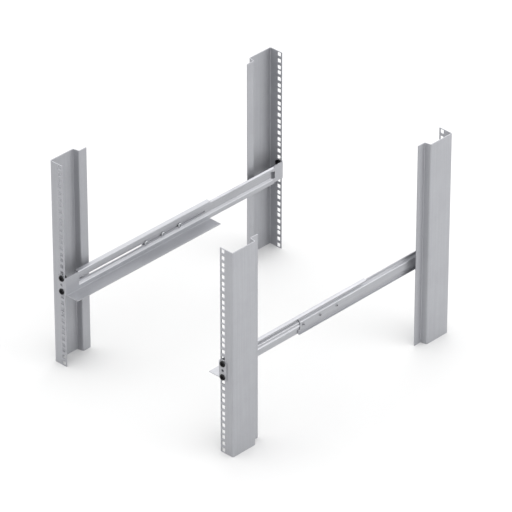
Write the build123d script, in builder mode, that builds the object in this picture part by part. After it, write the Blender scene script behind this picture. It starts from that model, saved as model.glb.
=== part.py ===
from build123d import *
from math import hypot
import os

# A pair of depth-adjustable server rails on the four uprights that they bolt to.
# X runs to the right, Y to the rear and Z up. The origin is on the floor, midway
# between the uprights in both directions. Every piece is drawn at the front right
# or the right side, and mirrored to the other places.

# Rack grid
rack_unit = 44.45
unit_count = 11
first_hole_rise = 6.35
hole_pitch = 15.875
holes_per_unit = 3
column_spacing = 465.1
square_hole = 9.5
rack_depth = 652.0

# Uprights, one folded sheet each, whose inner edges are set in from the hole columns
column_margin = 7.55
upright_sheet = 2.0
upright_bend = 1.5
face_width = 35.0
web_depth = 66.0
joggle_step = 15.0
joggle_lean = 3.0
lip_depth = 20.0

# Rails: common sheet, height and nesting
units_below_rails = 4
ledge_drop = 0.4
flange_drop = 1.35
rail_sheet = 1.5
rail_bend = 0.5
rail_inset = 4.0
slide_clearance = 0.3
end_margin = 4.625
plate_edge = 11.2
end_leg = 4.0

# Front rail, measured back from the front faces of the uprights
front_rail_length = 427.0
ledge_start = 3.0
flange_start = 36.0
flange_width = 10.1
ledge_width = 31.0

# Rear rail: its front edge measured the same way, the rest from the rear uprights' faces
rear_rail_start = 229.0
rear_plain_end = 26.0
bottom_lip = 4.2
top_lip_rise = 4.0
top_lip_reach = 1.8
slit_setback = 24.5
slit_width = 8.0
slit_height = 17.0

# Formed bead that stiffens both rails and holds the slot
bead_flat = 13.6
bead_drop = 3.5
bead_depth = 5.0
bead_start = 37.0
bead_setback = 30.0
bead_nose = 5.0
bead_corner = 2.0

# Adjusting slot and the clamp screws that run in it
slot_start = 44.0
slot_setback = 12.0
slot_height = 4.4
clamp_inset = 10.0
clamp_pitch = 50.0
clamp_count = 3
clamp_shank_radius = 1.9
clamp_head_radius = 5.5
clamp_head_height = 2.8
clamp_head_gap = 0.1
clamp_socket_radius = 1.8
clamp_socket_depth = 1.8
collar_wall = 1.1
collar_height = 1.6
clamp_end_recess = 1.0

# M6 fixings of the rail ends
shank_radius = 2.9
thread_clearance = 0.05
fit_clearance = 0.1
washer_radius = 7.0
washer_thickness = 1.4
head_radius = 5.2
head_height = 2.4
hole_clearance = 0.3
nut_side = 10.0
nut_thickness = 4.5
cage_sheet = 0.7
cage_height = 8.0
screw_end = 2.0
device_hole_radius = 3.5

# How closely an edge has to lie to its computed place to be picked for a bend
match = 0.01

# Places worked out from the sizes above
upright_height = unit_count * rack_unit
half_depth = rack_depth / 2
front_face = -half_depth
column_x = column_spacing / 2
half_opening = column_x - column_margin
rail_gap = 2 * (half_opening - rail_inset)
unit_hole_rises = [first_hole_rise + step * hole_pitch for step in range(holes_per_unit)]
unit_bottoms = [unit * rack_unit for unit in range(unit_count)]
hole_heights = [bottom + rise for bottom in unit_bottoms for rise in unit_hole_rises]
rail_floor = units_below_rails * rack_unit
fixing_heights = (rail_floor + unit_hole_rises[0], rail_floor + unit_hole_rises[-1])
plate_middle = (fixing_heights[0] + fixing_heights[1]) / 2
end_bottom = fixing_heights[0] - end_margin
end_top = fixing_heights[1] + end_margin
end_height = end_top - end_bottom
ledge_middle = rail_floor - ledge_drop - rail_sheet / 2
flange_middle = rail_floor + rack_unit - flange_drop - rail_sheet / 2
bead_middle = (ledge_middle + flange_middle) / 2
bend_middle = rail_bend + rail_sheet / 2
nesting = rail_sheet + slide_clearance
front_web = rail_gap / 2 + rail_sheet / 2
rear_web = front_web + nesting
plate_tip = column_x + plate_edge
lip_end = rack_depth - rear_plain_end
bead_end = rack_depth - bead_setback
slit_end = rack_depth - slit_setback
slot_end = front_rail_length - slot_setback
first_clamp = rear_rail_start + clamp_inset
clamp_places = [first_clamp + step * clamp_pitch for step in range(clamp_count)]


def from_front(distance):
    """Y of a point measured back from the front faces of the uprights."""
    return front_face + distance


def slope_shift(run, offset):
    """How far the ends of the bead's slope move along the sheet on a face set off
    outwards: parallel faces of a slope that rises bead_depth over this run."""
    return offset * (hypot(bead_depth, run) - run) / bead_depth


def bead_block(offset, start, end, front_nose, rear_nose):
    """One face of the bead as a sloped block, set off outwards from the rail gap.

    An end with a nose is closed by a slope with rounded corners, and an end without
    one is cut off square.
    """
    foot_x = rail_gap / 2 + offset
    crest_x = foot_x + bead_depth
    flat = bead_flat / 2 + slope_shift(bead_drop, offset)
    if front_nose:
        start -= slope_shift(front_nose, offset)
    if rear_nose:
        end += slope_shift(rear_nose, offset)
    with BuildPart() as block:
        with BuildSketch(Plane.XZ.offset(-start)):
            with BuildLine():
                Polyline(
                    (foot_x, bead_middle - flat - bead_drop),
                    (crest_x, bead_middle - flat),
                    (crest_x, bead_middle + flat),
                    (foot_x, bead_middle + flat + bead_drop),
                    close=True,
                )
            make_face()
        extrude(amount=start - end)
        if front_nose:
            slope = Plane(origin=(foot_x, start, bead_middle), z_dir=(front_nose, -bead_depth, 0))
            split(bisect_by=slope, keep=Keep.BOTTOM)
        if rear_nose:
            slope = Plane(origin=(foot_x, end, bead_middle), z_dir=(rear_nose, bead_depth, 0))
            split(bisect_by=slope, keep=Keep.BOTTOM)
        closed_end = block.faces().sort_by(Axis.Y)[0 if front_nose else -1]
        corners = [edge for edge in closed_end.edges() if abs(edge.tangent_at(0.5).X) > 0.1]
        fillet(corners, bead_corner + offset)
    return block.part


def bend_bead(part, offset, low, high):
    """Round the bead's foot and crest on one face, between two places along Y.

    On a sheet's inner face the foot is the outside of a bend and the crest the inside
    of one, and on its outer face it is the other way round.
    """
    foot_x = rail_gap / 2 + offset
    flat = bead_flat / 2 + slope_shift(bead_drop, offset)
    inside = rail_bend
    outside = rail_bend + rail_sheet
    radii = (outside, inside) if offset in (0, nesting) else (inside, outside)
    stages = ((foot_x, flat + bead_drop), (foot_x + bead_depth, flat))
    for (x, half_height), radius in zip(stages, radii):
        bends = []
        for edge in part.edges():
            box = edge.bounding_box()
            in_face = abs(box.min.X - x) + abs(box.max.X - x) < match
            above = box.min.Z > bead_middle - half_height - match
            below = box.max.Z < bead_middle + half_height + match
            in_run = box.max.Y > low + match and box.min.Y < high - match
            if in_face and above and below and in_run:
                bends.append(edge)
        fillet(bends, radius)


def end_plate(web_x, outer_y, inward):
    """The plate bent outwards from a rail's web, with a short leg of that web.

    outer_y is the upright's outer face and inward the way from it into the rack.
    """
    plate_y = outer_y - inward * rail_sheet / 2
    with BuildSketch(Plane.XY.offset(end_bottom)) as fold:
        with BuildLine():
            FilletPolyline(
                (web_x, outer_y + inward * end_leg),
                (web_x, plate_y),
                (plate_tip, plate_y),
                radius=bend_middle,
            )
        trace(line_width=rail_sheet)
    extrude(fold.sketch, amount=end_height)
    with BuildSketch(Plane.XZ.offset(-outer_y)) as holes:
        with Locations((column_x, fixing_heights[0]), (column_x, fixing_heights[1])):
            Circle(shank_radius + hole_clearance)
        with Locations((column_x, plate_middle)):
            Circle(device_hole_radius)
    extrude(holes.sketch, amount=inward * rail_sheet, mode=Mode.SUBTRACT)


def rail_run(points, start, end):
    """A folded section in the XZ plane, carried along Y from start to end."""
    with BuildSketch(Plane.XZ.offset(-start)) as section:
        with BuildLine():
            FilletPolyline(*points, radius=bend_middle)
        trace(line_width=rail_sheet)
    extrude(section.sketch, amount=start - end)


# Upright: holed face, deep web, joggle inwards and a stiffening lip
web_x = half_opening + face_width - upright_sheet / 2
joggle_x = web_x - joggle_step
face_y = front_face + upright_sheet / 2
joggle_y = front_face + web_depth - upright_sheet / 2
with BuildPart() as upright:
    with BuildSketch():
        with BuildLine():
            FilletPolyline(
                (half_opening, face_y),
                (web_x, face_y),
                (web_x, joggle_y),
                (joggle_x, joggle_y + joggle_lean),
                (joggle_x, joggle_y + joggle_lean + lip_depth),
                radius=upright_bend + upright_sheet / 2,
            )
        trace(line_width=upright_sheet)
    extrude(amount=upright_height)
    with BuildSketch(Plane.XZ.offset(half_depth)):
        with Locations([(column_x, height) for height in hole_heights]):
            Rectangle(square_hole, square_hole)
    extrude(amount=-upright_sheet, mode=Mode.SUBTRACT)

# Front rail: plate, plain end, then ledge, beaded web and top flange
ledge_tip = rail_gap / 2 - ledge_width
flange_tip = rail_gap / 2 + flange_width
with BuildPart() as front_rail:
    end_plate(front_web, front_face, 1)
    rail_run(
        [(ledge_tip, ledge_middle), (front_web, ledge_middle), (front_web, end_top)],
        from_front(ledge_start),
        from_front(flange_start),
    )
    rail_run(
        [
            (ledge_tip, ledge_middle),
            (front_web, ledge_middle),
            (front_web, flange_middle),
            (flange_tip, flange_middle),
        ],
        from_front(flange_start),
        from_front(front_rail_length),
    )
    bead_run = (from_front(bead_start), from_front(front_rail_length), bead_nose, 0)
    add(bead_block(rail_sheet, *bead_run))
    add(bead_block(0, *bead_run), mode=Mode.SUBTRACT)
    bend_bead(front_rail, rail_sheet, front_face, from_front(front_rail_length))
    bend_bead(front_rail, 0, front_face, from_front(front_rail_length))
    with BuildSketch(Plane.YZ.offset(front_web)):
        with Locations((from_front((slot_start + slot_end) / 2), bead_middle)):
            SlotOverall(slot_end - slot_start, slot_height)
    extrude(amount=bead_depth + rail_sheet, mode=Mode.SUBTRACT)

# Rear rail: beaded web with two lips, relief slit, plain end and plate
rear_top = flange_middle - rail_sheet - slide_clearance
with BuildPart() as rear_rail:
    end_plate(rear_web, half_depth, -1)
    with BuildSketch(Plane.XZ.offset(-from_front(lip_end))):
        with Locations((rear_web, plate_middle)):
            Rectangle(rail_sheet, end_height)
    extrude(amount=from_front(lip_end) - half_depth + rail_bend)
    rail_run(
        [
            (rear_web + bottom_lip, ledge_middle),
            (rear_web, ledge_middle),
            (rear_web, rear_top - top_lip_rise),
            (rear_web + top_lip_reach, rear_top),
        ],
        from_front(rear_rail_start),
        from_front(lip_end),
    )
    bead_run = (from_front(rear_rail_start), from_front(bead_end), 0, bead_nose)
    add(bead_block(nesting + rail_sheet, *bead_run))
    add(bead_block(nesting, *bead_run), mode=Mode.SUBTRACT)
    bend_bead(rear_rail, nesting + rail_sheet, from_front(rear_rail_start), from_front(lip_end))
    bend_bead(rear_rail, nesting, from_front(rear_rail_start), from_front(lip_end))
    with BuildSketch(Plane.YZ.offset(rear_web - rail_sheet)):
        with Locations((from_front(slit_end - slit_width / 2), bead_middle)):
            Rectangle(slit_width, slit_height)
    extrude(amount=2 * rail_sheet + bead_depth, mode=Mode.SUBTRACT)
    collars = [(from_front(place), bead_middle) for place in clamp_places]
    with BuildSketch(Plane.YZ.offset(rear_web + rail_sheet / 2 + bead_depth)):
        with Locations(collars):
            Circle(clamp_shank_radius + thread_clearance + collar_wall)
    extrude(amount=collar_height)
    with BuildSketch(Plane.YZ.offset(rear_web)):
        with Locations(collars):
            Circle(clamp_shank_radius + thread_clearance)
    extrude(amount=bead_depth + rail_sheet + collar_height, mode=Mode.SUBTRACT)

# Clamp screw, drawn along +Z from the inner face of the front rail's bead. It passes
# through the slot into the threaded collar that is drawn out of the rear rail's sheet.
grip = rail_sheet + slide_clearance + rail_sheet + collar_height
with BuildPart() as clamp_screw:
    with BuildSketch(Plane.XY.offset(-clamp_head_gap - clamp_head_height)):
        Circle(clamp_head_radius)
    extrude(amount=clamp_head_height)
    with BuildSketch(Plane.XY.offset(-clamp_head_gap)):
        Circle(clamp_shank_radius)
    extrude(amount=clamp_head_gap + grip - clamp_end_recess)
    with BuildSketch(Plane.XY.offset(-clamp_head_gap - clamp_head_height)):
        RegularPolygon(clamp_socket_radius, 6)
    extrude(amount=clamp_socket_depth, mode=Mode.SUBTRACT)

# Rail end fixing, drawn along +Z with the upright's outer face at Z = 0
lug_x = square_hole / 2 - fit_clearance - cage_sheet / 2
cage_width = nut_side + 2 * fit_clearance
cage_face = -upright_sheet - fit_clearance
nut_front = cage_face - cage_sheet - fit_clearance
cage_depth = nut_thickness + 2 * fit_clearance
cage_middle = nut_front - nut_thickness / 2
cage_end = cage_face - cage_depth - 2 * cage_sheet
with BuildPart() as nut_cage:
    with BuildSketch(Plane.XZ.offset(-cage_height / 2)):
        with Locations((0, cage_middle)):
            Rectangle(cage_width + 2 * cage_sheet, cage_depth + 2 * cage_sheet)
            Rectangle(cage_width, cage_depth, mode=Mode.SUBTRACT)
        with Locations((0, cage_face - cage_sheet / 2)):
            Rectangle(2 * lug_x, 2 * cage_sheet, mode=Mode.SUBTRACT)
        lug_height = upright_sheet + cage_sheet
        with Locations((-lug_x, -fit_clearance), (lug_x, -fit_clearance)):
            Rectangle(cage_sheet, lug_height, align=(Align.CENTER, Align.MAX))
    extrude(amount=cage_height)
    with BuildSketch(Plane.XY.offset(cage_end)):
        Rectangle(2 * (shank_radius + hole_clearance), 2 * (shank_radius + hole_clearance))
    extrude(amount=cage_sheet, mode=Mode.SUBTRACT)

with BuildPart() as square_nut:
    with BuildSketch(Plane.XY.offset(nut_front)):
        Rectangle(nut_side, nut_side)
    extrude(amount=-nut_thickness)
    Hole(shank_radius + thread_clearance)

head_foot = rail_sheet + washer_thickness
with BuildPart() as cup_washer:
    with BuildSketch(Plane.XY.offset(rail_sheet)):
        Circle(washer_radius)
        Circle(shank_radius + hole_clearance, mode=Mode.SUBTRACT)
    extrude(amount=washer_thickness)

with BuildPart() as mounting_screw:
    with BuildSketch(Plane.XY.offset(cage_end - screw_end)):
        Circle(shank_radius)
    extrude(amount=head_foot - cage_end + screw_end)
    with BuildSketch(Plane.XY.offset(head_foot)):
        Circle(head_radius)
    extrude(amount=head_height)

# Places of the fasteners
clamp_seat = front_web - rail_sheet / 2 + bead_depth
clamp_planes = [
    Plane(origin=(clamp_seat, from_front(place), bead_middle), x_dir=(0, 1, 0), z_dir=(1, 0, 0))
    for place in clamp_places
]


def fixing_planes(columns):
    """Planes on the front faces of the uprights, at both fixing heights in each column."""
    return [
        Plane(origin=(x, front_face, height), x_dir=(1, 0, 0), z_dir=(0, -1, 0))
        for x in columns
        for height in fixing_heights
    ]


def write(name, piece, places, mirrors):
    """Set a piece at its places, mirror the set and write it as one labelled node."""
    with BuildPart() as node:
        with Locations(*places):
            add(piece.part)
        for plane in mirrors:
            mirror(about=plane, mode=Mode.REPLACE)
    node.part.label = name
    export_step(node.part, f"parts/{name}.step")


os.makedirs("parts", exist_ok=True)
sides = {"right": [], "left": [Plane.YZ]}
for side, across in sides.items():
    write(f"front_{side}_upright", upright, [Plane.XY], across)
    write(f"rear_{side}_upright", upright, [Plane.XY], across + [Plane.XZ])
    write(f"{side}_front_rail", front_rail, [Plane.XY], across)
    write(f"{side}_rear_rail", rear_rail, [Plane.XY], across)
    write(f"{side}_clamp_screws", clamp_screw, clamp_planes, across)

# The front fixings of both sides belong together, and each rear pair moves with its side
fixings = {
    "nut_cages": nut_cage,
    "square_nuts": square_nut,
    "cup_washers": cup_washer,
    "mounting_screws": mounting_screw,
}
for name, piece in fixings.items():
    write(f"front_{name}", piece, fixing_planes([column_x, -column_x]), [])
    for side, across in sides.items():
        write(f"rear_{side}_{name}", piece, fixing_planes([column_x]), across + [Plane.XZ])
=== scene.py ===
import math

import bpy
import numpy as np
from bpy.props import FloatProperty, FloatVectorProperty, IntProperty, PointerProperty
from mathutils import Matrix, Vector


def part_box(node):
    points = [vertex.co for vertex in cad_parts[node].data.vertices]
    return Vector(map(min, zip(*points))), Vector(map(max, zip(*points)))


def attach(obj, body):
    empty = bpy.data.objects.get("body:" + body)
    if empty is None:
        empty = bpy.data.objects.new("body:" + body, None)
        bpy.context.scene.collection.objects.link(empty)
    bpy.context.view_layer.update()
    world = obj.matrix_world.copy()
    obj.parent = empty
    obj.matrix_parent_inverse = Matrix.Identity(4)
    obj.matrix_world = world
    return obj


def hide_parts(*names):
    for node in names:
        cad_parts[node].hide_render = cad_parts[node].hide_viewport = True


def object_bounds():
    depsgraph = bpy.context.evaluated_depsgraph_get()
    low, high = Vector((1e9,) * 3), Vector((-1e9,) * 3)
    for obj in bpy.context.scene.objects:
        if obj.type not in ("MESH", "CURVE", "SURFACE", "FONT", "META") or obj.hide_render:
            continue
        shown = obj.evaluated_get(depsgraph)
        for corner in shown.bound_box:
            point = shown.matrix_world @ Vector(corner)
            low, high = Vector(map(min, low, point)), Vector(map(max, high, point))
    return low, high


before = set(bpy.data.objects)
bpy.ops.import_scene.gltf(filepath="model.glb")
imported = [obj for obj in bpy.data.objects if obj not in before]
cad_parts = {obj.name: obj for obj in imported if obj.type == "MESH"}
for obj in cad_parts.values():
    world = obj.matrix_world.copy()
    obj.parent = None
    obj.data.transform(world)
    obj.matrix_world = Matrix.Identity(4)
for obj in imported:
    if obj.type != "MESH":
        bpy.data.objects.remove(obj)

# A pair of depth-adjustable rack rails on their four uprights, dressed for a studio view.
# The folded sheets are the construction's own solids with a finish of their own. The
# screws, cup washers, cages and nuts are made here in full detail, in their places.
# Shapes are worked out in millimetres, and become metres when they are put into a mesh.

bl_info = {
    "name": "Rack rail pair",
    "version": (1, 0, 0),
    "blender": (4, 5, 0),
    "location": "3D View > Sidebar > Rail pair",
    "description": "Finishes a pair of sliding rack rails and makes their fixings",
    "category": "Object",
}

CAD_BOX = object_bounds()
MM = 0.001
SIDES = ("right", "left")
ENDS = ("front", "rear")

# Sizes in millimetres that come from no solid and no property
SHANK = 2.9  # radius of the mounting screws' shanks
CLAMP_SHANK = 1.9  # radius of the clamp screws' shanks
CLAMP_HEAD = 2.8  # height of the clamp screws' heads
CLAMP_COUNT = 3  # clamp screws on each side
END_SHADE_LENGTH = 1.6  # length of thread at the shank's end that carries the painted shade
SQUARE_HOLE = 9.5  # side of the uprights' holes
CAGE_SHEET = 0.7  # thickness of the cages' sheet
CLEARANCE = 0.3  # between a shank or head and the hole or cup around it
FIT_GAP = 0.1  # between a cage and the nut or hole that it fits
SOFT_EDGE = 0.12  # half width of a cross recess's edge, and a cage's broken edge
SOCKET_EDGE = 0.09  # half width of a hexagon socket's edge

# Widths in millimetres of the patterns that no property sets
CLOUD = 70
FILM_PATCH = 3
# lumps in the painted shade on the clamp screws' ends
END_SHADE_LUMP = 0.8

# Threads: depth as a share of the pitch, gap to the shank's radius, rows of points to a pitch,
# and the slope and offset that turn a triangle wave into flanks with flats between them
THREAD_DEPTH = 0.43
THREAD_GAP = 0.03
THREAD_ROWS = 8
FLANK_SLOPE = 1.3
FLANK_OFFSET = 0.15

# Nuts: depth of the thread, lead-in and mouth of the bore, radius of the bevel's circle as a
# share of half the side, power of the superellipse, height of the broken edge, rows in the bore
NUT_THREAD = 0.3
NUT_LEAD = 0.35
NUT_MOUTH = SHANK + 0.5
NUT_CIRCLE = 1.13
NUT_SQUARENESS = 22
NUT_EDGE = 0.15
BORE_ROWS = 29

# Heads: powers of the two crowns, the share of a crown's radius that is used, short of its
# vertical end, the mounting screws' straight edge, and the rows as shares of the radius, which
# lie closer towards the rounded rim
DOME_POWER = 2.6
PAN_POWER = 5.0
CROWN_REACH = 0.995
DOME_EDGE = 0.9
HEAD_ROWS = np.concatenate(
    [np.linspace(0, 0.72, 34), np.linspace(0.74, 0.96, 12), [0.98, 0.993, 1.0]]
)[:, None]

# Points to a rounded corner, and the share of a cage's leg that a bend may take, as a divisor
CORNER_STEPS = 5
BEND_STEPS = 6
LEG_DIVISOR = 2.1

# Galvanised sheet: shares of its tone that its three patterns give, and how far the tone moves
# its roughness
LINE_SHARE, CRYSTAL_SHARE, CLOUD_SHARE = 0.45, 0.12, 0.28
SHEET_SPREAD = 0.05

# Ranges that most of a noise's values lie in
NOISE_LOW, NOISE_HIGH = 0.3, 0.7
CLOUD_LOW, CLOUD_HIGH = 0.35, 0.65

# The other finishes: their dull parts' share of the colour, and the roughness from the dull
# parts to the bright ones
ZINC_DULL, ZINC_ROUGHNESS = 0.8, (0.34, 0.24)
STEEL_DULL, STEEL_ROUGHNESS = 0.55, (0.32, 0.46)
# dull share of the painted shade on the clamp screws' ends
END_SHADE_DULL = 0.6
PLASTIC_DULL = 0.7
FLOOR_BRIGHT = 1.01

# Bumps: strength, and depth in millimetres
LINE_BUMP = (0.06, 0.05)
GRAIN_BUMP = (0.25, 0.03)

# Lamps: name, property of the power, width and length, and place from the rack's middle, in metres
LAMPS = (
    ("softbox", "softbox", (5.0, 3.5), (-3.6, 3.9, 4.2)),
    ("edge_light", "edge_light", (1.2, 1.2), (-1.25, 2.35, 1.57)),
    ("side_panel", "side_light", (4.0, 2.0), (5.0, 2.8, 1.4)),
)
FULL_SKY = 0.5  # height of a direction, as a sine, from which the world is at full strength
SENSOR_WIDTH = 36.0  # millimetres
CLIP_RANGE = (0.1, 200.0)  # metres
SHARP_ANGLE = math.radians(38)


def linear(code):
    """Linear red, green and blue of an sRGB colour written as #RRGGBB."""
    values = [int(code[i:i + 2], 16) / 255 for i in (1, 3, 5)]
    return [v / 12.92 if v <= 0.04045 else ((v + 0.055) / 1.055) ** 2.4 for v in values]


def colour(name, description, code):
    """A colour property whose default is written as #RRGGBB."""
    return FloatVectorProperty(
        name=name, description=description, subtype="COLOR", size=3, min=0, max=1, default=linear(code)
    )


def length(name, description, size_mm):
    """A length property whose default is written in millimetres."""
    return FloatProperty(name=name, description=description, unit="LENGTH", precision=5, default=size_mm * MM)


def factor(name, description, value):
    """A property between 0 and 1."""
    return FloatProperty(name=name, description=description, subtype="FACTOR", min=0, max=1, default=value)


def watts(name, description, value):
    """The power of a lamp, in watts."""
    return FloatProperty(name=name, description=description, min=0, default=value)


class RailPairFinish(bpy.types.PropertyGroup):
    """Colours and surface grain of the finishes."""

    upright_light: colour("Upright light", "Brighter crystals of the uprights' zinc", "#A8A9AD")
    upright_dark: colour("Upright dark", "Duller crystals of the uprights' zinc", "#A0A1A5")
    rail_light: colour("Rail light", "Brighter crystals of the rails' zinc", "#A9AAAE")
    rail_dark: colour("Rail dark", "Duller crystals of the rails' zinc", "#A0A1A5")
    zinc: colour("Bright zinc", "Clear passivated zinc of the clamp screws", "#B9BBBE")
    # Painted shade: this dark colour on the clamp screws' ends stands in for the shade in the holes round
    # them
    end_shade_colour: colour("Painted end shade", "Painted shade on the clamp screws' ends, for the shade in their holes", "#1C1E22")
    black_steel: colour("Black steel", "Blackened steel of screws, cages and nuts", "#1D1D1F")
    black_plastic: colour("Black plastic", "Moulded polyamide of the cup washers", "#111113")
    upright_roughness: factor("Upright roughness", "Roughness of the uprights' skin-passed zinc", 0.52)
    rail_roughness: factor("Rail roughness", "Roughness of the rails' smoother zinc", 0.37)
    bare_share: factor("Bare metal", "Share of bare zinc in the sheet's look, beside its dull film", 0.76)
    line_spacing: length("Rolling lines", "Spacing of the rolling lines that show", 1.8)
    line_length: length("Line length", "Length of one rolling line along the strip", 160)
    spangle: length("Spangle", "Width of one zinc crystal", 4.5)
    grain: length("Grain", "Width of the fine grain of blackened steel and plastic", 0.35)


class RailPairFixings(bpy.types.PropertyGroup):
    """Sizes of the fixings that only show here."""

    pitch: length("Thread pitch", "Pitch of the M6 threads", 1.0)
    clamp_pitch: length("Clamp thread pitch", "Pitch of the clamp screws' M4 threads", 0.7)
    cross_length: length("Cross length", "Tip to tip of the cross recess", 5.4)
    cross_width: length("Cross width", "Width of one arm of the cross recess", 1.15)
    cross_depth: length("Cross depth", "Depth of the cross recess", 1.7)
    socket_width: length("Socket width", "Across the flats of the clamp screws' hexagon socket", 3.0)
    socket_depth: length("Socket depth", "Depth of the hexagon socket", 1.8)
    pan_edge: length("Pan edge", "Height of the clamp screws' straight edge under the rounding", 0.9)
    cup_floor: length("Cup floor", "Thickness of the cup washer under the head", 1.0)
    cup_height: length("Cup height", "Height of the cup washer's rim over the plate", 2.4)
    cup_rim: length("Cup rim", "Width of the flat top of the rim", 0.6)
    nut_bevel: FloatProperty(
        name="Nut bevel", description="Slope of the bevel on the square nut's corners", subtype="ANGLE",
        default=math.radians(30),
    )
    cage_bend: length("Cage bend", "Bend radius of the sprung cage", 0.8)
    turn_steps: IntProperty(name="Steps", description="Points round one fixing", default=72, min=24)


class RailPairStage(bpy.types.PropertyGroup):
    """Camera, lamps and floor."""

    lens: FloatProperty(name="Lens", description="Focal length in millimetres", default=341.7)
    camera: FloatVectorProperty(
        name="Camera", description="Place of the camera", subtype="TRANSLATION", size=3,
        default=(5.9525, -6.176, 5.5854),
    )
    aim: FloatVectorProperty(
        name="Aim", description="Viewing direction", subtype="DIRECTION", size=3,
        default=(-0.5879, 0.6111, -0.53),
    )
    world: FloatProperty(name="World", description="Strength of the even light from above", default=1.8)
    horizon: FloatProperty(name="Horizon", description="Strength of the light at the horizon", default=1.0)
    softbox: watts("Softbox", "Power of the wide softbox behind the rack, in watts", 12)
    edge_light: watts("Edge light", "Power of the small softbox that the top flanges mirror, in watts", 8)
    side_light: watts("Side light", "Power of the panel on the right, in watts", 90)
    floor: colour("Floor", "Matt white floor", "#CACACA")
    floor_size: length("Floor size", "Side of the square floor", 60000)
    stain: length("Floor clouds", "Width of the floor's faint clouds", 2500)


# Places of the fixings, read from the solids that the finished pieces stand for


def corners_of(node):
    """Lowest and highest corner of a node, in millimetres."""
    low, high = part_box(node)
    return np.array(low) / MM, np.array(high) / MM


class Fixing:
    """Heights of one bolted stack over the upright's outer face, and its places."""

    def __init__(self):
        washer_low, washer_high = corners_of("rear_right_cup_washers")
        screw_low, screw_high = corners_of("rear_right_mounting_screws")
        nut_low, nut_high = corners_of("rear_right_square_nuts")
        cage_low, cage_high = corners_of("rear_right_nut_cages")
        self.face = corners_of("rear_right_upright")[1][1]
        self.washer_radius = (washer_high[0] - washer_low[0]) / 2
        self.plate = washer_low[1] - self.face
        self.column = (washer_high[0] + washer_low[0]) / 2
        self.heights = (washer_low[2] + self.washer_radius, washer_high[2] - self.washer_radius)
        self.head_radius = (screw_high[0] - screw_low[0]) / 2
        self.head_top = screw_high[1] - self.face
        self.screw_end = screw_low[1] - self.face
        self.nut_side = nut_high[0] - nut_low[0]
        self.nut_top = nut_high[1] - self.face
        self.nut_bottom = nut_low[1] - self.face
        self.cage_width = cage_high[0] - cage_low[0]
        self.cage_height = (cage_high[2] - cage_low[2]) - (self.heights[1] - self.heights[0])
        self.cage_top = cage_high[1] - self.face
        self.cage_bottom = cage_low[1] - self.face

    def places(self, end, side):
        """Origin and axes of each stack of one end, of both sides where side is None. A stack's
        own Z points out of the rack."""
        out = -1 if end == "front" else 1
        columns = {None: (self.column, -self.column), "right": (self.column,), "left": (-self.column,)}[side]
        axes = ((-out, 0, 0), (0, 0, 1), (0, out, 0))
        return [((x, out * self.face, height), axes) for x in columns for height in self.heights]


FIXING = Fixing()

# Mesh maths: every shape is whole arrays of points on a grid of two parameters


def grid_faces(rows, columns, join_rows=False):
    """Quads of a grid, each as its point and the next ones along both parameters. The last column
    joins the first, and the last row joins the first where join_rows says so."""
    i, j = np.meshgrid(np.arange(rows - 1 + join_rows), np.arange(columns), indexing="ij")
    here, below = i * columns, (i + 1) % rows * columns
    after = (j + 1) % columns
    return np.stack([here + j, here + after, below + after, below + j], -1).reshape(-1, 4)


def closed_shell(points, quads):
    """Triangles of a closed shape, with doubled points merged and its faces turned outwards.

    The signed volume is the sum of each triangle's scalar triple product over six, so the
    sum's sign says which way the faces point.
    """
    _, first, back = np.unique(np.round(points, 5), axis=0, return_index=True, return_inverse=True)
    triangles = np.concatenate([quads[:, [0, 1, 2]], quads[:, [0, 2, 3]]])
    triangles = back.reshape(-1)[triangles]
    a, b, c = triangles.T
    triangles = triangles[(a != b) & (b != c) & (c != a)]
    merged = points[first]
    p, q, r = (merged[triangles[:, k]] for k in range(3))
    if np.einsum("ij,ij->i", p, np.cross(q, r)).sum() < 0:
        triangles = triangles[:, ::-1]
    return merged, triangles


def full_turn(steps):
    """Angles of a whole turn, as one row of a grid."""
    return np.linspace(0, 2 * np.pi, steps, endpoint=False)[None, :]


def spun(rows, turn, ring=False):
    """The shell of rows of radius and height, each spread over the turn: a point is (radius times
    the angle's cosine, radius times its sine, height). A ring's last row joins its first."""
    spread = [np.broadcast_arrays(radius, height, turn) for radius, height in rows]
    radius, height, angle = (np.concatenate([row[k] for row in spread]) for k in range(3))
    points = np.stack([radius * np.cos(angle), radius * np.sin(angle), height], -1).reshape(-1, 3)
    return closed_shell(points, grid_faces(len(radius), turn.size, join_rows=ring))


def bends(before, corner, after, cut, steps):
    """Curves round corners: between two points at the distance cut from a corner runs
    (1-t)^2 A + 2t(1-t) B + t^2 C, with the corner as B."""
    back, on = before - corner, after - corner
    start = corner + back / np.linalg.norm(back, axis=1, keepdims=True) * cut
    stop = corner + on / np.linalg.norm(on, axis=1, keepdims=True) * cut
    t = np.linspace(0, 1, steps)[None, :, None]
    curve = (1 - t) ** 2 * start[:, None] + 2 * t * (1 - t) * corner[:, None] + t ** 2 * stop[:, None]
    return curve.reshape(-1, 2)


def smooth(edge_low, edge_high, value):
    """0 below the first edge, 1 above the second, and 3t^2 - 2t^3 between."""
    t = np.clip((value - edge_low) / (edge_high - edge_low), 0, 1)
    return t * t * (3 - 2 * t)


def thread(height, turn, core, depth, pitch):
    """Radius of a thread: the core plus a flattened triangle wave of height over pitch less the turn."""
    wave = 1 - np.abs(2 * ((height / pitch - turn / (2 * np.pi)) % 1) - 1)
    return core + depth * np.clip(FLANK_SLOPE * wave - FLANK_OFFSET, 0, 1)


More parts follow.
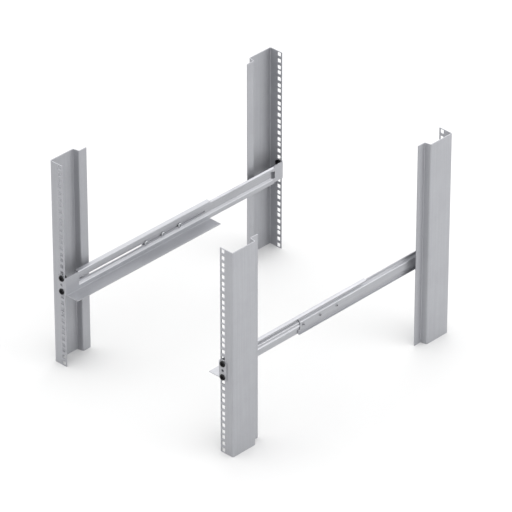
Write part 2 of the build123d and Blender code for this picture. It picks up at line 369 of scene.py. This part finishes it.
def cross_recess(sizes):
    """Depth of a cross: an arm is the product of two soft steps, and its bottom rises with the
    square of the radius towards the tips, by the share rise."""
    reach, half, depth = sizes.cross_length / 2 / MM, sizes.cross_width / 2 / MM, sizes.cross_depth / MM
    rise = 0.55

    def depth_at(x, y):
        across, along = (smooth(-SOFT_EDGE, SOFT_EDGE, half - np.abs(v)) for v in (y, x))
        reach_x, reach_y = (smooth(-SOFT_EDGE, SOFT_EDGE, reach - np.abs(v)) for v in (x, y))
        bottom = 1 - rise * np.clip(np.hypot(x, y) / reach, 0, 1) ** 2
        return depth * bottom * np.maximum(across * reach_x, along * reach_y)

    return depth_at


def hexagon_socket(sizes):
    """Depth of a hexagon: one soft step on the largest distance along its three normals."""
    half, depth = sizes.socket_width / 2 / MM, sizes.socket_depth / MM

    def depth_at(x, y):
        across = [np.abs(x * math.cos(a) + y * math.sin(a)) for a in (0, math.pi / 3, 2 * math.pi / 3)]
        return depth * smooth(-SOCKET_EDGE, SOCKET_EDGE, half - np.maximum.reduce(across))

    return depth_at


def crown(top, edge, power):
    """Height of a head over its edge: the root of one less the radius to a power, so a low power
    gives a dome and a high one a flat pan with a rounded rim."""
    return lambda share: edge + (top - edge) * np.sqrt(np.clip(1 - (share * CROWN_REACH) ** power, 0, 1))


def screw(steps, radius, top, foot, shank, end, pitch, recess):
    """A screw in millimetres: a crowned top over a short rim, less its recess, and a shank whose
    thread fades in over one pitch under the head and runs down to a chamfered end."""
    turn = full_turn(steps)
    ring = HEAD_ROWS * radius
    bevel_height, bevel_width, fillet = 0.2, 0.15, 0.2
    rim = np.array([(radius, foot + bevel_height), (radius - bevel_width, foot), (shank + fillet, foot)])
    depth = THREAD_DEPTH * pitch
    core = shank - depth - THREAD_GAP
    thread_stop, chamfer_height, chamfer_start, chamfer_end = 0.5, 0.4, 0.1, -0.3
    run = np.arange(foot - fillet, end + thread_stop, -pitch / THREAD_ROWS)[:, None]
    fade = smooth(0, pitch, foot - fillet - run)
    tail = np.array([(core + chamfer_start, end + chamfer_height), (core + chamfer_end, end), (0, end)])
    rows = (
        (ring, top(HEAD_ROWS) - recess(ring * np.cos(turn), ring * np.sin(turn))),
        (rim[:, :1], rim[:, 1:]),
        (thread(run, turn, core, depth * fade, pitch) + depth * (1 - fade), run),
        (tail[:, :1], tail[:, 1:]),
    )
    return spun(rows, turn)


def cup_washer(sizes):
    """A moulded cup: one section, turned about the screw's axis. Each of its corners has a
    radius, a height and the distance at which its rounding starts."""
    seat, outside, foot_edge = FIXING.plate, FIXING.washer_radius, 0.8
    floor, crest, rim = seat + sizes.cup_floor / MM, seat + sizes.cup_height / MM, sizes.cup_rim / MM
    inner, bore = FIXING.head_radius + CLEARANCE, SHANK + CLEARANCE
    corners = np.array([
        (bore, seat, 0.12), (outside, seat, 0.15), (outside, seat + foot_edge, 0.3),
        (inner + rim, crest, 0.22), (inner, crest, 0.2), (inner, floor, 0.25), (bore, floor, 0.12),
    ])
    corner, cut = corners[:, :2], corners[:, 2:]
    section = bends(np.roll(corner, 1, 0), corner, np.roll(corner, -1, 0), cut, CORNER_STEPS)
    return spun([(section[:, :1], section[:, 1:])], full_turn(sizes.turn_steps), ring=True)


def square_nut(sizes):
    """A square nut: rows run from a threaded bore to a superellipse of high power, the half side
    over (|cos a|^n + |sin a|^n)^(1/n), whose faces drop towards the corners as flat cones."""
    half, top, bottom = FIXING.nut_side / 2, FIXING.nut_top, FIXING.nut_bottom
    turn = full_turn(sizes.turn_steps * 2)
    powers = np.abs(np.cos(turn)) ** NUT_SQUARENESS + np.abs(np.sin(turn)) ** NUT_SQUARENESS
    outline = half / powers ** (1 / NUT_SQUARENESS)
    bore_run = np.linspace(top - NUT_LEAD, bottom + NUT_LEAD, BORE_ROWS)[:, None]
    shares = np.array([0.35, 0.7, 0.97])[:, None]
    reach = NUT_MOUTH + (outline - NUT_MOUTH) * shares
    drop = np.clip(reach - NUT_CIRCLE * half, 0, None) * math.tan(sizes.nut_bevel)
    rows = (
        (SHANK + THREAD_GAP + thread(bore_run, turn, 0, NUT_THREAD, sizes.pitch / MM), bore_run),
        (NUT_MOUTH, bottom),
        (reach, bottom + drop),
        (outline, bottom + drop[-1:] + NUT_EDGE),
        (outline, top - drop[-1:] - NUT_EDGE),
        (reach[::-1], top - drop[::-1]),
        (NUT_MOUTH, top),
    )
    return spun(rows, turn, ring=True)


def carried(path, normal, section, mirror=1):
    """A section carried along a path in the XZ plane: each point is the path's point plus the
    section's first value along the normal, at the section's second value in Y."""
    x = path[:, None, 0] + normal[:, None, 0] * section[None, :, 0]
    z = path[:, None, 1] + normal[:, None, 1] * section[None, :, 0]
    y = np.broadcast_to(section[None, :, 1], x.shape)
    rings = np.stack([x * mirror, y, z], -1)
    ends = [ring.mean(0, keepdims=True).repeat(len(section), 0) for ring in (rings[0], rings[-1])]
    rings = np.concatenate([ends[0][None], rings, ends[1][None]])
    return closed_shell(rings.reshape(-1, 3), grid_faces(len(rings), len(section)))


def nut_cage(sizes):
    """A sprung cage: a folded path with curved corners, thickened both ways across its sheet and
    carried over its width, in two mirrored halves that leave a window for the screw between them,
    and a bar along each of the window's long sides."""
    half_sheet = CAGE_SHEET / 2
    wide = FIXING.cage_width / 2 - half_sheet
    back = FIXING.cage_bottom + half_sheet
    front = FIXING.nut_top + FIT_GAP + half_sheet
    lug = SQUARE_HOLE / 2 - FIT_GAP - half_sheet
    corners = np.array([(lug, FIXING.cage_top), (lug, front), (wide, front), (wide, back), (0, back)])
    before, corner, after = corners[:-2], corners[1:-1], corners[2:]
    legs = np.minimum(np.linalg.norm(before - corner, axis=1), np.linalg.norm(after - corner, axis=1))
    cut = np.minimum(sizes.cage_bend / MM, legs / LEG_DIVISOR)[:, None]
    window = SHANK + CLEARANCE
    path = np.concatenate([corners[:1], bends(before, corner, after, cut, BEND_STEPS), [(window, back)]])
    tangent = np.gradient(path, axis=0)
    tangent /= np.linalg.norm(tangent, axis=1, keepdims=True)
    normal = np.stack([tangent[:, 1], -tangent[:, 0]], 1)
    width = FIXING.cage_height / 2
    side, end = width - SOFT_EDGE, half_sheet - SOFT_EDGE
    section = np.array([
        (-half_sheet, -side), (-half_sheet, side), (-end, width), (end, width),
        (half_sheet, side), (half_sheet, -side), (end, -width), (-end, -width),
    ])
    shells = [carried(path, normal, section, mirror) for mirror in (1, -1)]
    bar_path, down = np.array([(window, back), (-window, back)]), np.array([(0, -1.0), (0, -1.0)])
    for low, high in ((window, width), (-width, -window)):
        bar = np.array([(-half_sheet, low), (-half_sheet, high), (half_sheet, high), (half_sheet, low)])
        shells.append(carried(bar_path, down, bar))
    return joined(shells)


def joined(shells):
    """Several shells as one set of points and triangles."""
    starts = np.cumsum([0] + [len(points) for points, _ in shells[:-1]])
    points = np.concatenate([points for points, _ in shells])
    triangles = np.concatenate([faces + start for (_, faces), start in zip(shells, starts)])
    return points, triangles


def set_at(shell, places):
    """Copies of a shell: each point is the place's origin plus its axes times the coordinates."""
    points, triangles = shell
    return joined([(np.array(origin) + points @ np.array(axes, float), triangles) for origin, axes in places])


def make_piece(name, shell, material, body, slot, *nodes):
    """Put points in millimetres into a mesh at its place, shade it and stand it for its nodes."""
    points, triangles = shell
    mesh = bpy.data.meshes.new(name)
    mesh.from_pydata((points * MM).tolist(), [], triangles.tolist())
    mesh.shade_smooth()
    mesh.set_sharp_from_angle(angle=SHARP_ANGLE)
    mesh.materials.append(material)
    piece = bpy.data.objects.new(name, mesh)
    bpy.context.scene.collection.objects.link(piece)
    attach(piece, body)
    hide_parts(*nodes)
    return piece


# Finishes


def add(tree, kind, sockets=None, out=None, **settings):
    """Add a node, set its properties, and set its sockets or link them to outputs. The answer is
    the node, or the output that out names."""
    node = tree.nodes.new(kind)
    for name, value in settings.items():
        setattr(node, name, value)
    for key, value in (sockets or {}).items():
        if isinstance(value, bpy.types.NodeSocket):
            tree.links.new(value, node.inputs[key])
        else:
            node.inputs[key].default_value = value
    return node if out is None else node.outputs[out]


def finish(name, **sockets):
    """A material with one principled surface, whose constants go straight into its sockets."""
    material = bpy.data.materials.new(name)
    material.use_nodes = True
    tree = material.node_tree
    tree.nodes.clear()
    values = {key.replace("_", " "): value for key, value in sockets.items()}
    surface = add(tree, "ShaderNodeBsdfPrincipled", values)
    add(tree, "ShaderNodeOutputMaterial", {"Surface": surface.outputs["BSDF"]})
    return material, tree, surface


def scaled(tone, share):
    """A colour with each of its values times a share, up to 1."""
    return [min(1.0, share * value) for value in tone]


def galvanised_sheet(name, light, dark, rough, along):
    """Galvanised sheet steel, skin-passed and folded: a satin metal under its own dull film,
    whose even grey is broken by faint zinc crystals, rolling lines along the strip and slow
    clouds from the bath. The lines are drawn far wider than real ones, so that they show."""
    sizes = bpy.context.scene.rail_pair_finish
    material, tree, surface = finish(name, Metallic=sizes.bare_share, Roughness=rough)
    place = add(tree, "ShaderNodeTexCoord", out="Object")
    across, lengthways = 1 / sizes.line_spacing, 1 / sizes.line_length
    stretch = [lengthways if axis == along else across for axis in "XYZ"]
    strip = add(tree, "ShaderNodeMapping", {"Vector": place, "Scale": stretch}, "Vector")
    lines = add(tree, "ShaderNodeTexNoise", {"Vector": strip, "Scale": 1.0, "Detail": 4.0}, "Fac")
    cells = add(tree, "ShaderNodeTexVoronoi", {"Vector": place, "Scale": 1 / sizes.spangle}, "Color")
    crystal = add(tree, "ShaderNodeSeparateColor", {"Color": cells}, "Red")
    clouds = add(
        tree, "ShaderNodeTexNoise", {"Vector": place, "Scale": 1 / (CLOUD * MM), "Detail": 2.0}, "Fac"
    )
    line_tone = add(
        tree, "ShaderNodeMapRange",
        {"Value": lines, "From Min": NOISE_LOW, "From Max": NOISE_HIGH, "To Min": 0, "To Max": LINE_SHARE},
        "Result", interpolation_type="SMOOTHSTEP",
    )
    cloud_tone = add(
        tree, "ShaderNodeMapRange",
        {"Value": clouds, "From Min": CLOUD_LOW, "From Max": CLOUD_HIGH, "To Min": 0, "To Max": CLOUD_SHARE},
        "Result", interpolation_type="SMOOTHSTEP",
    )
    crystal_tone = add(tree, "ShaderNodeMath", {0: crystal, 1: CRYSTAL_SHARE}, 0, operation="MULTIPLY")
    tone = add(tree, "ShaderNodeMath", {0: line_tone, 1: crystal_tone}, 0, operation="ADD")
    tone = add(tree, "ShaderNodeMath", {0: tone, 1: cloud_tone}, 0, operation="ADD")
    shade = add(tree, "ShaderNodeMix", {0: tone, 6: (*dark, 1), 7: (*light, 1)}, 2, data_type="RGBA")
    dull, bright = rough + SHEET_SPREAD, rough - SHEET_SPREAD
    roughness = add(
        tree, "ShaderNodeMapRange",
        {"Value": tone, "From Min": 0, "From Max": 1, "To Min": dull, "To Max": bright},
        "Result", interpolation_type="SMOOTHSTEP",
    )
    strength, deep = LINE_BUMP
    bump = add(
        tree, "ShaderNodeBump", {"Height": lines, "Strength": strength, "Distance": deep * MM}, "Normal"
    )
    tree.links.new(shade, surface.inputs["Base Color"])
    tree.links.new(roughness, surface.inputs["Roughness"])
    tree.links.new(bump, surface.inputs["Normal"])
    return material


def bright_zinc():
    """Zinc-plated, clear passivated steel: a brighter and smoother metal than the sheet, which
    the thin film dulls in small patches."""
    tone = bpy.context.scene.rail_pair_finish.zinc
    dull = scaled(tone, ZINC_DULL)
    rough, smoother = ZINC_ROUGHNESS
    material, tree, surface = finish("zinc_plated_steel", Metallic=1.0, Roughness=0.28)
    place = add(tree, "ShaderNodeTexCoord", out="Object")
    film = add(
        tree, "ShaderNodeTexNoise", {"Vector": place, "Scale": 1 / (FILM_PATCH * MM), "Detail": 3.0}, "Fac"
    )
    shade = add(tree, "ShaderNodeMix", {0: film, 6: (*dull, 1), 7: (*tone, 1)}, 2, data_type="RGBA")
    roughness = add(
        tree, "ShaderNodeMapRange",
        {"Value": film, "From Min": NOISE_LOW, "From Max": NOISE_HIGH, "To Min": rough, "To Max": smoother},
        "Result", interpolation_type="SMOOTHSTEP",
    )
    tree.links.new(shade, surface.inputs["Base Color"])
    tree.links.new(roughness, surface.inputs["Roughness"])
    return material


def painted_end_shade():
    """Painted shade on the last threads: a dark dull skin in a bright metal hole, standing in for the shade
    that falls in that hole.
    """
    tone = bpy.context.scene.rail_pair_finish.end_shade_colour
    dull = scaled(tone, END_SHADE_DULL)
    material, tree, surface = finish("dried_thread_lock", Roughness=0.6, IOR=1.5)
    place = add(tree, "ShaderNodeTexCoord", out="Object")
    lumps = add(
        tree, "ShaderNodeTexNoise", {"Vector": place, "Scale": 1 / (END_SHADE_LUMP * MM), "Detail": 3.0}, "Fac"
    )
    shade = add(tree, "ShaderNodeMix", {0: lumps, 6: (*dull, 1), 7: (*tone, 1)}, 2, data_type="RGBA")
    tree.links.new(shade, surface.inputs["Base Color"])
    return material


def blackened_steel():
    """Steel with a black zinc or phosphate film: a very dark metal with a satin grain."""
    sizes = bpy.context.scene.rail_pair_finish
    tone, dull = sizes.black_steel, scaled(sizes.black_steel, STEEL_DULL)
    smoother, rough = STEEL_ROUGHNESS
    material, tree, surface = finish("blackened_steel", Metallic=1.0, Roughness=0.38)
    place = add(tree, "ShaderNodeTexCoord", out="Object")
    grain = add(tree, "ShaderNodeTexNoise", {"Vector": place, "Scale": 1 / sizes.grain, "Detail": 3.0}, "Fac")
    shade = add(tree, "ShaderNodeMix", {0: grain, 6: (*dull, 1), 7: (*tone, 1)}, 2, data_type="RGBA")
    roughness = add(
        tree, "ShaderNodeMapRange",
        {"Value": grain, "From Min": NOISE_LOW, "From Max": NOISE_HIGH, "To Min": smoother, "To Max": rough},
        "Result", interpolation_type="SMOOTHSTEP",
    )
    tree.links.new(shade, surface.inputs["Base Color"])
    tree.links.new(roughness, surface.inputs["Roughness"])
    return material


def moulded_polyamide():
    """Black polyamide, moulded in a fine eroded tool: a grained skin with little gloss."""
    sizes = bpy.context.scene.rail_pair_finish
    tone, dull = sizes.black_plastic, scaled(sizes.black_plastic, PLASTIC_DULL)
    strength, deep = GRAIN_BUMP
    material, tree, surface = finish(
        "moulded_black_polyamide", Roughness=0.5, IOR=1.53, Specular_IOR_Level=0.3
    )
    place = add(tree, "ShaderNodeTexCoord", out="Object")
    grain = add(tree, "ShaderNodeTexNoise", {"Vector": place, "Scale": 1 / sizes.grain, "Detail": 3.0}, "Fac")
    shade = add(tree, "ShaderNodeMix", {0: grain, 6: (*dull, 1), 7: (*tone, 1)}, 2, data_type="RGBA")
    bump = add(
        tree, "ShaderNodeBump", {"Height": grain, "Strength": strength, "Distance": deep * MM}, "Normal"
    )
    tree.links.new(shade, surface.inputs["Base Color"])
    tree.links.new(bump, surface.inputs["Normal"])
    return material


def matt_floor(tone, width):
    """Matt white painted board: an even pale ground that only takes soft shadows."""
    lighter = scaled(tone, FLOOR_BRIGHT)
    material, tree, surface = finish("matt_white_board", Roughness=0.9, IOR=1.3)
    place = add(tree, "ShaderNodeTexCoord", out="Object")
    stain = add(tree, "ShaderNodeTexNoise", {"Vector": place, "Scale": 1 / width, "Detail": 1.0}, "Fac")
    shade = add(tree, "ShaderNodeMix", {0: stain, 6: (*tone, 1), 7: (*lighter, 1)}, 2, data_type="RGBA")
    tree.links.new(shade, surface.inputs["Base Color"])
    return material


def dress(names, material):
    """Give solids of the frame their finish."""
    for name in names:
        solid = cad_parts[name]
        solid.data.materials.clear()
        solid.data.materials.append(material)
        for holder in solid.material_slots:
            holder.material = material


# Stage


def set_lamp(name, power, size, target, offset):
    """A rectangular softbox at an offset from its target, unseen by the camera itself."""
    lamp = bpy.data.lights.new(name, "AREA")
    lamp.shape = "RECTANGLE"
    lamp.size, lamp.size_y = size
    lamp.energy = power
    holder = bpy.data.objects.new(name, lamp)
    holder.location = target + Vector(offset)
    holder.rotation_mode = "QUATERNION"
    holder.rotation_quaternion = (-Vector(offset)).to_track_quat("-Z", "Y")
    holder.visible_camera = False
    bpy.context.scene.collection.objects.link(holder)


def set_world(horizon, above):
    """White light that grows with the direction's height from the horizon to the full sky."""
    world = bpy.data.worlds.new("even_studio")
    world.use_nodes = True
    tree = world.node_tree
    background = tree.nodes["Background"]
    background.inputs["Color"].default_value = (1, 1, 1, 1)
    direction = add(tree, "ShaderNodeTexCoord", out="Generated")
    rise = add(tree, "ShaderNodeSeparateXYZ", {"Vector": direction}, "Z")
    strength = add(
        tree, "ShaderNodeMapRange",
        {"Value": rise, "From Min": 0.0, "From Max": FULL_SKY, "To Min": horizon, "To Max": above},
        "Result", interpolation_type="SMOOTHSTEP",
    )
    tree.links.new(strength, background.inputs["Strength"])
    bpy.context.scene.world = world


def set_camera(lens, place, aim):
    """The photograph's viewpoint, looking along the aim with its top upwards."""
    camera = bpy.data.cameras.new("photo_view")
    camera.lens, camera.sensor_width = lens, SENSOR_WIDTH
    camera.clip_start, camera.clip_end = CLIP_RANGE
    viewer = bpy.data.objects.new("photo_view", camera)
    viewer.location = place
    viewer.rotation_mode = "QUATERNION"
    viewer.rotation_quaternion = aim.to_track_quat("-Z", "Y")
    bpy.context.scene.collection.objects.link(viewer)
    bpy.context.scene.camera = viewer


# Operators, one for each piece or group of like pieces


class RAILPAIR_OT_uprights(bpy.types.Operator):
    """Finish the four folded uprights"""

    bl_idname = "rail_pair.uprights"
    bl_label = "Finish uprights"

    def execute(self, context):
        colours = context.scene.rail_pair_finish
        tones = (colours.upright_light, colours.upright_dark)
        sheet = galvanised_sheet("galvanised_upright_sheet", *tones, colours.upright_roughness, "Z")
        dress([f"{end}_{side}_upright" for end in ENDS for side in SIDES], sheet)
        return {"FINISHED"}


class RAILPAIR_OT_rails(bpy.types.Operator):
    """Finish the front and rear rails of both sides"""

    bl_idname = "rail_pair.rails"
    bl_label = "Finish rails"

    def execute(self, context):
        colours = context.scene.rail_pair_finish
        tones = (colours.rail_light, colours.rail_dark)
        sheet = galvanised_sheet("galvanised_rail_sheet", *tones, colours.rail_roughness, "Y")
        dress([f"{side}_{end}_rail" for end in ENDS for side in SIDES], sheet)
        return {"FINISHED"}


class RAILPAIR_OT_fixings(bpy.types.Operator):
    """Make the mounting screws, cup washers, cages and nuts of the rail ends"""

    bl_idname = "rail_pair.fixings"
    bl_label = "Make end fixings"

    def execute(self, context):
        sizes = context.scene.rail_pair_fixings
        steel, plastic = blackened_steel(), moulded_polyamide()
        foot = FIXING.plate + sizes.cup_floor / MM
        dome = crown(FIXING.head_top, foot + DOME_EDGE, DOME_POWER)
        head = (sizes.turn_steps, FIXING.head_radius, dome, foot)
        shank = (SHANK, FIXING.screw_end, sizes.pitch / MM)
        kinds = (
            ("mounting_screws", screw(*head, *shank, cross_recess(sizes)), steel, "black_steel"),
            ("cup_washers", cup_washer(sizes), plastic, "black_plastic"),
            ("nut_cages", nut_cage(sizes), steel, "black_steel"),
            ("square_nuts", square_nut(sizes), steel, "black_steel"),
        )
        for end, side in (("front", None), ("rear", "right"), ("rear", "left")):
            group = end if side is None else f"{end}_{side}"
            body = "front_frame" if side is None else f"{side}_rear"
            for kind, shell, material, slot in kinds:
                placed = set_at(shell, FIXING.places(end, side))
                make_piece(f"{group}_finished_{kind}", placed, material, body, slot, f"{group}_{kind}")
        return {"FINISHED"}


class RAILPAIR_OT_clamp_screws(bpy.types.Operator):
    """Make the pan-headed screws that clamp each telescoping pair"""

    bl_idname = "rail_pair.clamp_screws"
    bl_label = "Make clamp screws"

    def execute(self, context):
        sizes = context.scene.rail_pair_fixings
        # The second material is painted shade for the screws' ends, dark like the shade in the holes round
        # them
        zinc, film = bright_zinc(), painted_end_shade()
        pan = crown(CLAMP_HEAD, sizes.pan_edge / MM, PAN_POWER)
        for side, inward in (("right", -1), ("left", 1)):
            node = f"{side}_clamp_screws"
            low, high = corners_of(node)
            radius = (high[2] - low[2]) / 2
            end = CLAMP_HEAD - (high[0] - low[0])
            shank = (CLAMP_SHANK, end, sizes.clamp_pitch / MM)
            shell = screw(sizes.turn_steps, radius, pan, 0.0, *shank, hexagon_socket(sizes))
            crest = low[0] if side == "right" else high[0]
            seat, height = crest - inward * CLAMP_HEAD, (low[2] + high[2]) / 2
            axes = ((0, inward, 0), (0, 0, 1), (inward, 0, 0))
            rows = np.linspace(low[1] + radius, high[1] - radius, CLAMP_COUNT)
            places = [((seat, y, height), axes) for y in rows]
            name = f"{side}_finished_clamp_screws"
            piece = make_piece(name, set_at(shell, places), zinc, f"{side}_rear", "zinc_fastener", node)
            # The faces of each shank's last threads take the painted shade
            piece.data.materials.append(film)
            points, triangles = shell
            end_shade_faces = points[triangles, 2].max(1) < end + END_SHADE_LENGTH
            piece.data.polygons.foreach_set("material_index", np.tile(end_shade_faces, CLAMP_COUNT).astype(np.int32))
        return {"FINISHED"}


class RAILPAIR_OT_stage(bpy.types.Operator):
    """Set the floor, lamps, world and camera"""

    bl_idname = "rail_pair.stage"
    bl_label = "Set the stage"

    def execute(self, context):
        stage = context.scene.rail_pair_stage
        half = stage.floor_size / 2
        square = [(-half, -half, 0), (half, -half, 0), (half, half, 0), (-half, half, 0)]
        mesh = bpy.data.meshes.new("studio_floor")
        mesh.from_pydata(square, [], [(0, 1, 2, 3)])
        mesh.materials.append(matt_floor(stage.floor, stage.stain))
        floor = bpy.data.objects.new("studio_floor", mesh)
        context.scene.collection.objects.link(floor)
        middle = (CAD_BOX[0] + CAD_BOX[1]) / 2
        for name, strength, size, offset in LAMPS:
            set_lamp(name, getattr(stage, strength), size, middle, offset)
        set_world(stage.horizon, stage.world)
        set_camera(stage.lens, stage.camera, stage.aim)
        context.scene.view_settings.view_transform = "Standard"
        return {"FINISHED"}


class RAILPAIR_PT_panel(bpy.types.Panel):
    """Sizes, colours and steps of the rail pair"""

    bl_idname = "RAILPAIR_PT_panel"
    bl_label = "Rail pair"
    bl_space_type = "VIEW_3D"
    bl_region_type = "UI"
    bl_category = "Rail pair"

    def draw(self, context):
        for step in STEPS:
            self.layout.operator(step.bl_idname)
        for key, group in GROUPS.items():
            box = self.layout.box()
            for name in group.__annotations__:
                box.prop(getattr(context.scene, key), name)


STEPS = (
    RAILPAIR_OT_uprights,
    RAILPAIR_OT_rails,
    RAILPAIR_OT_fixings,
    RAILPAIR_OT_clamp_screws,
    RAILPAIR_OT_stage,
)
GROUPS = {
    "rail_pair_finish": RailPairFinish,
    "rail_pair_fixings": RailPairFixings,
    "rail_pair_stage": RailPairStage,
}


def register():
    """Add the classes and the scene's property groups."""
    for kind in (*GROUPS.values(), *STEPS, RAILPAIR_PT_panel):
        bpy.utils.register_class(kind)
    for key, group in GROUPS.items():
        setattr(bpy.types.Scene, key, PointerProperty(type=group))


def unregister():
    """Take the property groups and the classes away again."""
    for key in GROUPS:
        delattr(bpy.types.Scene, key)
    for kind in (RAILPAIR_PT_panel, *reversed(STEPS), *reversed(list(GROUPS.values()))):
        bpy.utils.unregister_class(kind)


def main():
    register()
    bpy.ops.rail_pair.uprights()
    bpy.ops.rail_pair.rails()
    bpy.ops.rail_pair.fixings()
    bpy.ops.rail_pair.clamp_screws()
    bpy.ops.rail_pair.stage()


if __name__ == "__main__":
    main()
